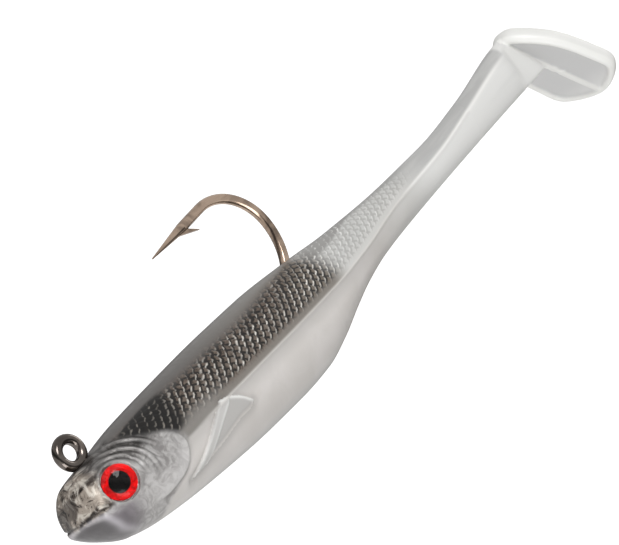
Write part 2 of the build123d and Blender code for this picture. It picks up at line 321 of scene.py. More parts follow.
def relief(p, h, crown, side):
    """Height of the surface detail in mm, and the masks that the materials read."""
    x, y, z = p[..., 0], p[..., 1], p[..., 2]
    flank = smooth(0.30, 0.50, np.abs(y) / half_y(x))
    back = smooth(-0.25, 0.25, h)
    rim, shade, own, low = fish_scales(x, h)
    field = smooth(-0.2, 1.5, x - head_end(z)) * smooth(76, 66, x)
    field = field * smooth(band_high(x) - 0.4, band_high(x) + 0.6, h)
    plain_half = strip_half(x)
    field = field * smooth(plain_half - 1.2, plain_half + 1.0, crown)
    smoke = smooth(50.6, 45.6, x + 0.30 * (h - 3) - 2.0 * smooth(1.6, 0.4, crown))
    # painted highlight: a bright glint along each scale's lower free edge
    dash = smooth(0.70, 0.84, rim) * smooth(1.0, 0.95, rim) * smooth(0.05, 0.30, low) * smooth(1.0, 0.85, low)
    net = smooth(0.80, 0.95, rim)
    height = field * (SCALE_RISE * rim**2 - PIT_DEPTH * shade) * (0.25 + 0.75 * smoke) * smooth(12.0, 3.5, h)
    ridge = smooth(11.0, 18.0, x) * smooth(104, 98, x)
    height = height + ridge * (RIDGE_RISE * bell(h, 0.24) - 0.05 * bell(h - 0.6, 0.35))
    fold_at = crease_at(x)
    # the back's top facet above the crease, darkened in the colour as painted shade
    crease = smooth(fold_at + 0.30, fold_at - 0.30, crown) * smooth(46.5, 48.5, x) * smooth(64, 61, x)
    height = height - CREASE_DEPTH * bell(crown - fold_at, 0.25) * smooth(48.5, 50.5, x) * smooth(63, 60, x)
    # gill plate, folds above the eye, mouth and lip
    gill_d, gill_at = to_line(x, z, GILL_EDGE)
    in_gill = inside(x, z, GILL_LOOP)
    head = smooth(1.1, -0.7, x - head_end(z))
    gill_fade = smooth(0.04, 0.45, gill_at) * smooth(1.0, 0.80, gill_at)
    plate = np.where(in_gill, smooth(0.0, 0.22, gill_d) * smooth(2.8, 0.2, gill_d), 0) * flank * gill_fade
    step = np.where(in_gill, 0, bell(gill_d, 0.3)) * flank * gill_fade
    height = height + PLATE_RISE * plate - PLATE_STEP * step
    fold, fold_side = np.zeros(x.shape), np.zeros(x.shape)
    for line in FOLDS:
        d, place = to_line(x, z, line)
        fade = np.sin(math.pi * np.clip(place, 0.02, 0.98)) ** 0.5 * flank
        fold = np.maximum(fold, bell(d, 0.17) * fade)
        fold_side = np.maximum(fold_side, bell(d - 0.38, 0.16) * fade)
    height = height + FOLD_RISE * fold - FOLD_DEPTH * fold_side
    mouth_d, mouth_at = to_line(x, z, MOUTH)
    mouth = bell(mouth_d, 0.17) * (1 - smooth(0.7, 1.0, mouth_at))
    lip_d, lip_at = to_line(x, z, LIP)
    lip = bell(lip_d, 0.24) * smooth(0.0, 0.15, lip_at) * (1 - 0.6 * smooth(0.6, 1.0, lip_at))
    height = height - MOUTH_DEPTH * mouth + LIP_RISE * lip
    nose = smooth(-1.6, -3.4, x - 0.25 * (z + 6)) * smooth(-8.0, -7.4, z)
    crest = smooth(9.0, 5.5, x) * smooth(-6.4, -4.2, z) * (1 - nose)
    patch = smooth(3.0, 5.4, x) * smooth(15.5, 8.5, x - 0.4 * (z + 4))
    patch = patch * smooth(-7.6, -6.0, z) * smooth(2.9, 4.3, crown)
    # pectoral fin
    lead_d, lead_at = to_line(x, z, FIN_LEAD)
    top_d, _ = to_line(x, z, FIN_TOP)
    rear_d, _ = to_line(x, z, FIN_REAR)
    in_fin = inside(x, z, FIN_LOOP)
    border = np.minimum(np.minimum(lead_d, top_d) * 2, rear_d * 0.5)
    wide = 0.80 + 0.50 * lead_at
    lead = np.where(in_fin, smooth(1.12, 0.80, lead_d / wide), 0) * flank
    lead_edge = np.where(in_fin, bell(lead_d - 0.92 * wide, 0.15), 0) * flank
    top = np.where(in_fin, bell(top_d - 0.18, 0.24), 0) * flank
    fin = np.where(in_fin, smooth(0, 0.35, border), 0) * flank
    beside = np.where(in_fin, 0, bell(np.minimum(lead_d, top_d), 0.35)) * flank
    under = np.where(in_fin, 0, bell(rear_d, 0.7)) * flank
    height = height + FIN_RISE * fin + FIN_LEAD_RISE * lead + FIN_EDGE_RISE * lead_edge
    height = height + FIN_TOP_RISE * top - FIN_MOAT * beside
    # eyelid
    centre, out = eye_frame(side)
    rel = p - centre
    deep = (rel * out).sum(-1)
    across = np.sqrt(np.clip((rel * rel).sum(-1) - deep**2, 0, None))
    near = (rel * rel).sum(-1) < EYE_REACH**2
    lid = np.where(near, bell(across - EYE_RADIUS - 0.22, 0.22), 0)
    height = height + LID_RISE * lid
    masks = {
        "height": h,
        "crown": crown,
        "back": back,
        "smoke": smoke,
        "scaled": np.maximum(smooth(plain_half - 1.4, plain_half + 1.3, crown), smooth(3.5, 1.5, h)),
        "dash": field * dash * (0.45 + 0.55 * own),
        "net": field * net,
        # painted shade just behind each scale's free edge
        "pit": field * shade,
        # painted highlight along the flank ridge
        "rimline": ridge * bell(h - 0.05, 0.17),
        "head": head,
        "crease": crease,
        "chin": smooth(0.25, -0.25, x - lip_front(z)) * smooth(-7.3, -7.7, z),
        "gill": plate,
        "step": step,
        "fold": fold,
        "fold_side": fold_side,
        "nose": nose,
        "crest": crest,
        "patch": patch,
        "mouth": mouth,
        "lip": lip,
        "lead": lead,
        "lead_edge": lead_edge,
        "fin_top": top,
        "fin": fin,
        "fin_under": under,
        "lid": lid,
    }
    return height, masks, deep, across, near


def normals(p):
    """Unit normals of a grid of points."""
    a = np.gradient(p, axis=0)
    b = np.gradient(p, axis=1)
    n = np.cross(a, b)
    return n / (np.linalg.norm(n, axis=-1, keepdims=True) + 1e-12)


def press_socket(p, deep, across, near, side):
    """Pushes the skin under the eye back behind the iris."""
    out = eye_frame(side)[1]
    above = deep + SOCKET_DEPTH + SKIN_UNDER_EYE
    push = np.where(near & (across < EYE_RADIUS + 0.05) & (above > 0), above, 0)
    return p - push[..., None] * out


def half_skin(xs, ts, shape, side):
    """One side of the back or belly: points, and masks, on a grid of x against t."""
    x, t = np.meshgrid(xs, ts, indexing="ij")
    p = shape(x, t, side)
    step = np.linalg.norm(np.diff(p[..., 1:], axis=1), axis=-1)
    run = np.concatenate([np.zeros((len(xs), 1)), np.cumsum(step, axis=1)], axis=1)
    if shape is upper:
        h, crown = run[:, -1:] - run, run
    else:
        h, crown = -run, 10 + 0 * run
    height, masks, deep, across, near = relief(p, h, crown, side)
    n = normals(p)
    centre = np.stack([x, 0 * x, ridge_z(x)], -1)
    n = n * np.sign(((p - centre) * n).sum(-1, keepdims=True) + 1e-9)
    calm = smooth(0.0, 1.2, x - NOSE_X)
    q = p + n * (height * calm)[..., None]
    q = press_socket(q, deep, across, near, side)
    return q, masks


def both_sides(xs, ts, shape):
    """A whole back or belly from left edge to right edge, as one grid of points with masks."""
    (lp, lm), (rp, rm) = (half_skin(xs, ts, shape, side) for side in (-1, 1))
    if shape is upper:
        points = np.concatenate([lp[:, ::-1], rp[:, 1:]], axis=1)
        return points, {k: np.concatenate([lm[k][:, ::-1], rm[k][:, 1:]], axis=1) for k in lm}
    points = np.concatenate([rp, lp[:, ::-1][:, 1:]], axis=1)
    return points, {k: np.concatenate([rm[k], lm[k][:, ::-1][:, 1:]], axis=1) for k in lm}


def mesh_object(name, points, faces, masks):
    mesh = bpy.data.meshes.new(name)
    mesh.from_pydata((points * MM).tolist(), [], faces)
    for key, values in masks.items():
        layer = mesh.attributes.new(key, "FLOAT", "POINT")
        layer.data.foreach_set("value", np.ascontiguousarray(values, np.float32))
    mesh.validate()
    mesh.update()
    obj = bpy.data.objects.new(name, mesh)
    bpy.context.scene.collection.objects.link(obj)
    mesh.polygons.foreach_set("use_smooth", [True] * len(mesh.polygons))
    mesh.set_sharp_from_angle(angle=math.radians(62))
    return obj


def closed(grid):
    """Points and faces of a closed shell from rings of points: quads between the rings, and a face on each end."""
    rows, cols = grid.shape[:2]
    i, j = np.meshgrid(np.arange(rows - 1), np.arange(cols), indexing="ij")
    k = (j + 1) % cols
    quads = np.stack([i * cols + j, i * cols + k, (i + 1) * cols + k, (i + 1) * cols + j], -1).reshape(-1, 4)
    faces = quads.tolist()
    faces.append(list(range(cols))[::-1])
    faces.append([(rows - 1) * cols + c for c in range(cols)])
    return grid.reshape(-1, 3), faces


def tube_of_rings(name, grid, masks, flip=False):
    """An object from rings of points, with masks of the same shape."""
    points, faces = closed(grid)
    if flip:
        faces = [f[::-1] for f in faces]
    return mesh_object(name, points, faces, {key: values.reshape(-1) for key, values in masks.items()})


def with_floor(points, masks, drop, count=5):
    """Adds an inner floor from the last column back to the first, so that an open grid closes."""
    first, last = points[:, :1], points[:, -1:]
    share = (np.arange(1, count + 1) / (count + 1))[None, :, None]
    floor = last + (first - last) * share
    floor[..., 2] += drop * np.sin(share[..., 0] * math.pi)
    grid = np.concatenate([points, floor], axis=1)
    extra = {k: np.concatenate([v, np.repeat(v[:, :1], count, axis=1)], axis=1) for k, v in masks.items()}
    return grid, extra


def steps(low, high, size):
    """Even steps of about a size from low to high."""
    return np.linspace(low, high, int(round((high - low) / size)) + 1)


FLOOR_BOW = 0.02
UP_T = np.linspace(0, 1, 82)
LOW_T = np.linspace(0, 1, 72)
nose_rows = NOSE_X + NOSE_ROUND * (1 - np.cos(np.linspace(0.06, math.pi / 2, 12)))
trunk_rows = np.r_[nose_rows, steps(NOSE_X + NOSE_ROUND, TRUNK_CUT, TRUNK_STEP)[1:]]
rear_rows = steps(TRUNK_CUT, STEM_CUT, REAR_STEP)

back_grid = with_floor(*both_sides(trunk_rows, UP_T, upper), FLOOR_BOW)
back_skin = tube_of_rings("back_skin", *back_grid)
belly_grid = with_floor(*both_sides(trunk_rows, LOW_T, lower), -FLOOR_BOW)
belly_skin = tube_of_rings("belly_skin", *belly_grid)

up_p, up_m = both_sides(rear_rows, UP_T[::2], upper)
low_p, low_m = both_sides(rear_rows, LOW_T[::2], lower)
ring_p = np.concatenate([up_p, low_p[:, 1:-1]], axis=1)
ring_m = {k: np.concatenate([up_m[k], low_m[k][:, 1:-1]], axis=1) for k in up_m}
rear_skin = tube_of_rings("rear_skin", ring_p, ring_m)


# ---- stem end and paddle, as one moulding ----
DOWN = np.array([math.sin(PADDLE_TILT), 0, -math.cos(PADDLE_TILT)])
BACKWARD = np.array([math.cos(PADDLE_TILT), 0, math.sin(PADDLE_TILT)])
ACROSS = np.array([0.0, 1.0, 0.0])
HEEL_AT = np.array([HEEL[0], 0, HEEL[1]])
# The plate's edge radius, and where the rings of its front and rear faces lie from the middle, 0, to the edge, 1.
PLATE_SOFT = 0.75
FRONT_SHARES = (0.02, 0.1, 0.2, 0.3, 0.4, 0.5, 0.6, 0.7, 0.78, 0.84, 0.89, 0.93, 0.96, 0.985)
REAR_SHARES = (0.93, 0.82, 0.7, 0.55, 0.4, 0.25, 0.12, 0.02)
STEM_END = 112.0
STEM_TUCK = 0.965


def paddle_outline(count=72):
    """Points (across, down) round the paddle's edge, in mm."""
    over_heel, over_toe = ((-across, down) for across, down in (PADDLE_EDGE[1], PADDLE_EDGE[-2]))
    side = spread([over_heel] + PADDLE_EDGE + [over_toe], 24)[24:-24]
    side = side * [PADDLE_HALF_WIDTH, PADDLE_LENGTH]
    run = np.r_[0, np.cumsum(np.hypot(*np.diff(side, axis=0).T))]
    at = np.linspace(0, run[-1], count + 1)
    right_side = np.stack([np.interp(at, run, side[:, 0]), np.interp(at, run, side[:, 1])], -1)
    return np.vstack([right_side[:-1], right_side[::-1][:-1] * [-1, 1]])


def paddle_plate():
    """The dished plate: rings from the middle of the front, round the soft edge, to the middle of the back."""
    line = paddle_outline()
    ahead = np.roll(line, -1, axis=0) - np.roll(line, 1, axis=0)
    ahead /= np.linalg.norm(ahead, axis=1, keepdims=True)
    inward = np.stack([-ahead[:, 1], ahead[:, 0]], -1)
    middle = np.array([0, PADDLE_LENGTH * 0.55])
    inward *= np.sign(((middle - line) * inward).sum(1, keepdims=True))
    rings = []
    for share in FRONT_SHARES:
        rings.append((middle + (line + inward * PLATE_SOFT - middle) * share, 0.0))
    for turn in np.linspace(0, math.pi, 13):
        off = PLATE_SOFT * (1 - math.sin(turn))
        rings.append((line + inward * off, PADDLE_THICK / 2 * (1 - math.cos(turn))))
    for share in REAR_SHARES:
        rings.append((middle + (line + inward * PLATE_SOFT - middle) * share, PADDLE_THICK))
    out = []
    for uv, depth in rings:
        d, _ = to_line(uv[:, 0], uv[:, 1], np.vstack([line, line[:1]]))
        dish = smooth(DISH_MARGIN - 0.15, DISH_MARGIN + 0.35, d)
        rib = smooth(RIB_HALF + 0.25, RIB_HALF - 0.1, np.abs(uv[:, 0]))
        sunk = DISH_DEPTH * dish * (1 - rib) if depth == 0.0 else np.zeros(len(uv))
        out.append(HEEL_AT + uv[:, :1] * ACROSS + uv[:, 1:] * DOWN + (depth + sunk)[:, None] * BACKWARD)
    return np.array(out)


def stem_end():
    """Rings of the stem from just inside the rear skin to inside the plate."""
    xs = np.r_[STEM_CUT - 1.4, STEM_CUT - 0.3, STEM_CUT, np.linspace(STEM_CUT + 0.25, STEM_END, 90)]
    ts = np.linspace(0, 1, 28)
    x, t = np.meshgrid(xs, ts, indexing="ij")
    ul, ur, ll, lr = upper(x, t, -1), upper(x, t, 1), lower(x, t, -1), lower(x, t, 1)
    ring = np.concatenate([ul[:, ::-1], ur[:, 1:], lr[:, 1:], ll[:, ::-1][:, 1:-1]], axis=1)
    middle = np.stack([xs, 0 * xs, ridge_z(xs)], -1)[:, None, :]
    tuck = np.interp(xs, [STEM_CUT - 0.3, STEM_CUT + 0.2], [STEM_TUCK, 1.0])[:, None, None]
    ring = middle + (ring - middle) * tuck
    depth = (ring - HEEL_AT) @ BACKWARD
    over = np.clip(depth - PADDLE_THICK * 0.6, 0, None)
    ring[..., 0] -= over / math.cos(PADDLE_TILT)
    return ring


def fused(name, grids, voxel, passes):
    """Closed shells fused into one skin: remeshed, smoothed a little, and given back as points and faces in mm."""
    points, faces = [], []
    for grid in grids:
        p, f = closed(grid)
        base = sum(len(q) for q in points)
        points.append(p)
        faces += [[v + base for v in face] for face in f]
    mesh = bpy.data.meshes.new(name)
    mesh.from_pydata(np.vstack(points).tolist(), [], faces)
    mesh.update()
    obj = bpy.data.objects.new(name, mesh)
    bpy.context.scene.collection.objects.link(obj)
    join = obj.modifiers.new("fuse", "REMESH")
    join.mode = "VOXEL"
    join.voxel_size = voxel
    calm = obj.modifiers.new("calm", "SMOOTH")
    calm.factor = 0.5
    calm.iterations = passes
    bpy.context.view_layer.update()
    final = bpy.data.meshes.new_from_object(obj.evaluated_get(bpy.context.evaluated_depsgraph_get()))
    out = np.array([v.co for v in final.vertices])
    polys = [list(f.vertices) for f in final.polygons]
    bpy.data.objects.remove(obj)
    bpy.data.meshes.remove(mesh)
    bpy.data.meshes.remove(final)
    return out, polys


tail_p, tail_f = fused("tail_skin", [stem_end(), paddle_plate()], TAIL_VOXEL, TAIL_PASSES)
rel = tail_p - HEEL_AT
pu, pv, pw = rel[:, 1], rel @ DOWN, rel @ BACKWARD
outline = paddle_outline()
edge_d, _ = to_line(pu, pv, np.vstack([outline, outline[:1]]))
on_plate = inside(pu, pv, outline) | (edge_d < 0.3)
plate_zone = on_plate & (pw > -0.12)
front_face = smooth(1.0, 0.7, pw) * plate_zone
sunk = smooth(0.18, 0.42, pw) * front_face * smooth(0.8, 1.1, edge_d)
stem_h = tail_p[:, 2] - ridge_z(tail_p[:, 0])
tail_m = {
    "height": stem_h,
    "crown": back_z(tail_p[:, 0]) - tail_p[:, 2],
    "back": smooth(-0.25, 0.25, stem_h),
    # painted highlight along the stem's ridge, not on the plate
    "rimline": np.where(plate_zone, 0, bell(stem_h, 0.26)) * smooth(104, 98, tail_p[:, 0]),
    "recess_shade": sunk,
    "edge": front_face * smooth(1.5, 0.9, edge_d),
    "plate": plate_zone.astype(float),
    "gusset": np.where(plate_zone, 0, smooth(103.0, 104.2, tail_p[:, 0])),
    "toe": smooth(0.72, 0.95, pv / PADDLE_LENGTH) * plate_zone,
}
tail_skin = mesh_object("tail_skin", tail_p, tail_f, tail_m)


# ---- clear domes over the eyes ----
def eye_dome(name, side):
    """A closed lens that stands just clear of the iris and pupil."""
    centre, out = eye_frame(side)
    seat = centre - out * SOCKET_DEPTH
    first = np.array([math.cos(EYE_YAW), side * math.sin(EYE_YAW), 0.0])
    second = np.cross(out, first)
    ball = (EYE_RADIUS**2 + DOME_RISE**2) / (2 * DOME_RISE)
    rings = [(0.03, DOME_FLOOR), (0.6, DOME_FLOOR), (1.2, DOME_FLOOR), (EYE_RADIUS - 0.15, DOME_FLOOR)]
    rings += [(EYE_RADIUS, DOME_FLOOR + 0.03)]
    for r in np.linspace(EYE_RADIUS, 0.03, 22):
        rings.append((r, DOME_TOP - ball + math.sqrt(ball**2 - r**2)))
    turns = np.linspace(0, 2 * math.pi, 72, endpoint=False)
    circle = np.cos(turns)[:, None] * first + np.sin(turns)[:, None] * second
    grid = np.array([seat + out * lift + r * circle for r, lift in rings])
    return tube_of_rings(name, grid, {}, flip=side > 0)


domes = []
for word, side in (("left", -1), ("right", 1)):
    dome = eye_dome(f"{word}_dome_lens", side)
    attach(dome, "trunk")
    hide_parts(f"{word}_eye_dome")
    dome.visible_shadow = False
    domes.append(dome)

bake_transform(back_skin)
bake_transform(belly_skin)
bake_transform(rear_skin)
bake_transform(tail_skin)
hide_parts("back_pour", "rear_body")
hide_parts("belly_pour")
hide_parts("rear_body", "tail_stem")
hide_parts("tail_stem", "paddle_tail")


# ---- materials ----
def linear(rgb):
    """An 8-bit screen colour as the linear value that a shader takes."""
    c = np.array(rgb, float) / 255
    out = np.where(c <= 0.04045, c / 12.92, ((c + 0.055) / 1.055) ** 2.4)
    return (*[float(v) for v in out], 1.0)


class Graph:
    """A small helper that builds one material's nodes."""

    def __init__(self, name, **fixed):
        self.material = bpy.data.materials.new(name)
        self.material.use_nodes = True
        self.tree = self.material.node_tree
        self.shader = self.tree.nodes["Principled BSDF"]
        for key, value in fixed.items():
            self.shader.inputs[key.replace("_", " ")].default_value = value
        self.object = self.node("ShaderNodeTexCoord").outputs["Object"]

    def node(self, kind, **props):
        n = self.tree.nodes.new(kind)
        for key, value in props.items():
            setattr(n, key, value)
        return n

    def link(self, out, into):
        if isinstance(out, (int, float, tuple)):
            into.default_value = out
        else:
            self.tree.links.new(out, into)

    def attribute(self, name):
        return self.node("ShaderNodeAttribute", attribute_name=name).outputs["Fac"]

    def noise(self, scale, detail=3.0, distortion=0.0, rough=0.55, stretch=None):
        n = self.node("ShaderNodeTexNoise")
        n.inputs["Scale"].default_value = scale
        n.inputs["Detail"].default_value = detail
        n.inputs["Distortion"].default_value = distortion
        n.inputs["Roughness"].default_value = rough
        source = self.object
        if stretch:
            m = self.node("ShaderNodeMapping")
            m.inputs["Scale"].default_value = stretch
            self.link(source, m.inputs["Vector"])
            source = m.outputs["Vector"]
        self.link(source, n.inputs["Vector"])
        return n.outputs["Fac"]

    def cells(self, scale):
        n = self.node("ShaderNodeTexVoronoi", feature="F1")
        n.inputs["Scale"].default_value = scale
        self.link(self.object, n.inputs["Vector"])
        return n.outputs["Distance"]

    def math(self, op, a, b=0.0):
        n = self.node("ShaderNodeMath", operation=op)
        self.link(a, n.inputs[0])
        self.link(b, n.inputs[1])
        return n.outputs[0]

    def ramp(self, v, low, high, out_low=0.0, out_high=1.0):
        n = self.node("ShaderNodeMapRange", interpolation_type="SMOOTHSTEP")
        self.link(v, n.inputs["Value"])
        for key, value in (("From Min", low), ("From Max", high), ("To Min", out_low), ("To Max", out_high)):
            n.inputs[key].default_value = value
        return n.outputs["Result"]

    def mix(self, share, a, b):
        n = self.node("ShaderNodeMix", data_type="RGBA")
        self.link(share, n.inputs[0])
        self.link(a, n.inputs[6])
        self.link(b, n.inputs[7])
        return n.outputs[2]

    def bump(self, height, distance, strength=1.0):
        n = self.node("ShaderNodeBump")
        n.inputs["Distance"].default_value = distance
        n.inputs["Strength"].default_value = strength
        self.link(height, n.inputs["Height"])
        self.link(n.outputs["Normal"], self.shader.inputs["Normal"])

    def along(self):
        """The x of each point, in metres."""
        place = self.node("ShaderNodeSeparateXYZ")
        self.link(self.object, place.inputs[0])
        return place.outputs["X"]

    def product(self, *values):
        out = values[0]
        for value in values[1:]:
            out = self.math("MULTIPLY", out, value)
        return out

    def put(self, key, value):
        self.link(value, self.shader.inputs[key])


def skin_material(name):
    """Soft plastic: smoked scales on the back, pearl below, clear behind, and a silvered, crinkled head."""
    g = Graph(name, Coat_Weight=0.15, Coat_Roughness=0.14, IOR=1.38)

    def over(base, mask, colour, share=1.0):
        return g.mix(g.product(mask, share) if share != 1.0 else mask, base, linear(colour))

    a = g.attribute
    grain, cloud, fleck = g.noise(1100, 4), g.noise(170, 3, 0.6), g.noise(2300, 2)
    crinkle = g.noise(520, 5, 1.6, 0.66)
    coarse = g.noise(230, 4, 2.4, 0.6)
    patchy = g.noise(310, 2)
    streak = g.noise(500, 3, 0.4, stretch=(0.12, 1, 1))
    along = g.along()
    height, crown = a("height"), a("crown")

    pearl = g.mix(g.ramp(cloud, 0.3, 0.7), linear((216, 212, 208)), linear((224, 220, 217)))
    pearl = over(pearl, g.ramp(height, -6.8, -9.2), (198, 196, 194))
    pearl = over(pearl, g.ramp(height, -2.4, -0.3), (186, 183, 180), 0.7)

    clear = g.mix(g.ramp(cloud, 0.3, 0.7), linear((192, 192, 190)), linear((203, 203, 201)))
    clear = over(clear, g.ramp(height, 2.4, 0.4), (213, 212, 209), 0.8)
    # painted shade: darker along the crown of the back
    clear = over(clear, g.ramp(crown, 2.0, 0.9), (140, 139, 137), 0.7)
    # painted shade on the top facet above the crease
    clear = over(clear, a("crease"), (136, 134, 132), 0.75)
    # painted shade behind the scale edges, lighter in the clear zone
    clear = over(clear, g.ramp(a("pit"), 0.05, 0.6), (150, 148, 145), 0.45)
    # painted highlights: glints on the scale edges, fainter in the clear zone
    clear = over(clear, g.product(a("dash"), g.ramp(patchy, 0.36, 0.60, 0.4, 1.0)), (236, 236, 234), 0.9)
    # painted light and shade: the stem's under-facet light, its top facet darker
    stem = g.mix(g.ramp(height, 0.0, 0.6), linear((234, 234, 232)), linear((186, 186, 185)))
    stem = over(stem, g.ramp(streak, 0.45, 0.75), (222, 222, 220), 0.35)
    clear = g.mix(g.ramp(along, 0.068, 0.078), clear, stem)

    smoke = g.mix(g.ramp(height, 2.0, 7.5), linear((110, 99, 90)), linear((88, 73, 63)))
    smoke = over(smoke, g.ramp(fleck, 0.50, 0.70), (40, 33, 28), 0.75)
    smoke = over(smoke, g.ramp(fleck, 0.46, 0.30), (142, 132, 122), 0.45)
    smoke = over(smoke, g.ramp(along, 0.034, 0.047), (124, 116, 104), 0.5)
    smoke = over(smoke, a("net"), (120, 112, 103), 0.35)
    # painted shade: near-black just behind each scale's free edge
    smoke = over(smoke, g.ramp(a("pit"), 0.05, 0.55), (20, 16, 14), 0.95)
    # painted highlights: bright glints on the scale edges, patchy and fainter up the back
    bright = g.product(
        a("dash"), g.ramp(patchy, 0.36, 0.60, 0.45, 1.25), g.ramp(fleck, 0.30, 0.55, 0.60, 1.0),
        g.ramp(height, 7.5, 2.5, 0.30, 1.0),
    )
    smoke = over(smoke, bright, (236, 232, 224))
    strip = g.mix(g.ramp(along, 0.010, 0.040), linear((94, 91, 89)), linear((128, 125, 121)))
    smoke = g.mix(g.math("SUBTRACT", 1.0, a("scaled")), smoke, strip)
    smoke = over(smoke, g.ramp(height, 1.5, 0.6), (136, 131, 125), 0.85)
    pale_front = g.product(g.ramp(along, 0.022, 0.013), g.ramp(height, 2.6, 0.9))
    smoke = over(smoke, pale_front, (172, 169, 166), 0.8)
    grey_front = g.product(g.ramp(along, 0.024, 0.012), g.ramp(height, 3.2, 1.4))
    smoke = over(smoke, grey_front, (122, 118, 113), 0.7)
    smoke = over(smoke, g.ramp(a("patch"), 0.05, 0.60), (9, 7, 6), 0.97)
    # painted highlights on the scale edges near the head, toned down to grey
    smoke = over(smoke, g.product(g.ramp(along, 0.020, 0.009), a("dash")), (150, 144, 136), 0.8)

    back = g.mix(a("smoke"), clear, smoke)
    rear_under = g.mix(g.ramp(along, 0.056, 0.072), pearl, clear)
    base = g.mix(a("back"), rear_under, back)

    cheek = g.mix(g.ramp(crinkle, 0.35, 0.65), linear((158, 155, 154)), linear((200, 198, 197)))
    cheek = over(cheek, g.ramp(coarse, 0.55, 0.75), (212, 210, 209), 0.6)
    crest = g.mix(g.ramp(coarse, 0.38, 0.62), linear((52, 49, 47)), linear((126, 123, 121)))
    # crinkled foil pattern; its bright cream patches and near-black blotches are painted reflections
    snout = g.mix(g.ramp(coarse, 0.38, 0.56), linear((70, 61, 55)), linear((184, 172, 160)))
    snout = over(snout, g.ramp(crinkle, 0.50, 0.62), (238, 231, 220), 0.75)
    snout = over(snout, g.ramp(patchy, 0.50, 0.62), (60, 51, 45), 0.75)
    snout = over(snout, g.ramp(crinkle, 0.45, 0.37), (16, 13, 11), 0.9)
    jaw = g.mix(g.ramp(cloud, 0.35, 0.65), linear((100, 94, 100)), linear((124, 118, 124)))
    jaw = over(jaw, a("chin"), (78, 75, 78), 0.9)
    head = g.mix(g.ramp(height, -1.8, 0.2), jaw, cheek)
    head = g.mix(g.ramp(along, -0.003, 0.001), head, cheek)
    head = g.mix(a("crest"), head, crest)
    head = g.mix(a("nose"), head, snout)
    base = g.mix(g.product(a("head"), 0.95), base, head)

    base = over(base, a("gill"), (228, 226, 225), 0.45)
    # painted shadow along the outside of the gill plate's edge
    base = over(base, a("step"), (120, 117, 115), 0.40)
    # painted highlight on the fold crests, painted shade in the hollows beside them
    base = over(base, a("fold"), (196, 193, 191), 0.40)
    base = over(base, a("fold_side"), (34, 31, 30), 0.65)
    # painted highlight along the raised lip band
    base = over(base, a("lip"), (222, 218, 224), 0.60)
    # painted shade in the mouth's groove
    base = over(base, a("mouth"), (40, 35, 34), 0.80)
    base = over(base, a("lid"), (206, 204, 202), 0.35)
    # painted shadow just outside the fin's rear edge
    base = over(base, a("fin_under"), (158, 156, 154), 0.45)
    base = over(base, a("fin"), (184, 183, 181), 0.75)
    # painted highlights on the fin's leading edge, its edge line and its top
    base = over(base, a("lead"), (206, 205, 203), 0.80)
    base = over(base, a("lead_edge"), (244, 244, 242), 0.75)
    base = over(base, a("fin_top"), (246, 246, 244), 0.85)
    # painted highlight along the flank ridge, brightest on the rear and the stem
    base = over(base, a("rimline"), (222, 219, 215), 0.70)
    base = over(base, g.product(a("rimline"), g.ramp(along, 0.066, 0.074)), (252, 252, 250), 0.80)

    base = over(base, a("gusset"), (242, 242, 240), 0.85)
    base = over(base, a("plate"), (242, 242, 239))
    # painted shade in the paddle's dished recess
    base = over(base, a("recess_shade"), (214, 214, 214))
    base = over(base, a("toe"), (240, 240, 238), 0.5)
    # painted light: the front face brighter towards the paddle's rim
    base = over(base, a("edge"), (252, 252, 249), 0.85)
    g.put("Base Color", base)
    silver = g.product(a("head"), g.ramp(height, -1.5, 0.5), g.ramp(crinkle, 0.35, 0.6, 0.65, 0.30))
    g.put("Metallic", silver)
    g.put("Roughness", g.ramp(grain, 0.2, 0.8, 0.30, 0.44))
    wrinkle = g.product(crinkle, a("head"), g.ramp(height, -2.0, 0.5, 0.15, 1.0))
    g.bump(g.math("ADD", wrinkle, g.product(grain, 0.10)), 0.00020, 0.8)
    return g.material


def wire_material():
    g = Graph("black_nickel_wire", Coat_Weight=0.3, Coat_Roughness=0.1)
    streak = g.noise(500, 4, 0.3, stretch=(0.25, 1, 1))
    blotch = g.noise(240, 3, 1.0)
    base = g.mix(g.ramp(streak, 0.3, 0.7), linear((158, 137, 120)), linear((206, 182, 162)))
    base = g.mix(g.ramp(blotch, 0.48, 0.68, 0.0, 0.6), base, linear((78, 68, 62)))
    # painted reflection: the ring darker than the rest of the wire, standing in for the dark reflections it shows
    ring_dark_reflection = g.mix(g.ramp(streak, 0.3, 0.7), linear((84, 78, 74)), linear((124, 116, 110)))
    base = g.mix(g.ramp(g.along(), 0.000, 0.010), ring_dark_reflection, base)
    g.put("Base Color", base)
    g.put("Metallic", 1.0)
    g.put("Roughness", g.ramp(streak, 0.25, 0.75, 0.10, 0.20))
    g.bump(streak, 0.00003, 0.5)
    return g.material


def lead_material():
    g = Graph("cast_lead")
    pits, cloud = g.noise(700, 5), g.noise(120, 3)
    g.put("Base Color", g.mix(g.ramp(cloud, 0.3, 0.7), linear((104, 106, 112)), linear((136, 138, 144))))
    g.put("Metallic", 0.85)
    g.put("Roughness", g.ramp(pits, 0.3, 0.7, 0.42, 0.62))
    g.bump(pits, 0.00008, 0.7)
    return g.material


def foil_material():
    g = Graph("flash_foil")
    facets, cloud = g.cells(900), g.noise(300, 3)
    g.put("Base Color", g.mix(g.ramp(cloud, 0.3, 0.7), linear((196, 198, 204)), linear((224, 224, 226))))
    g.put("Metallic", 0.95)
    g.put("Roughness", g.ramp(facets, 0.0, 0.8, 0.18, 0.34))
    g.bump(facets, 0.0001, 0.6)
    return g.material


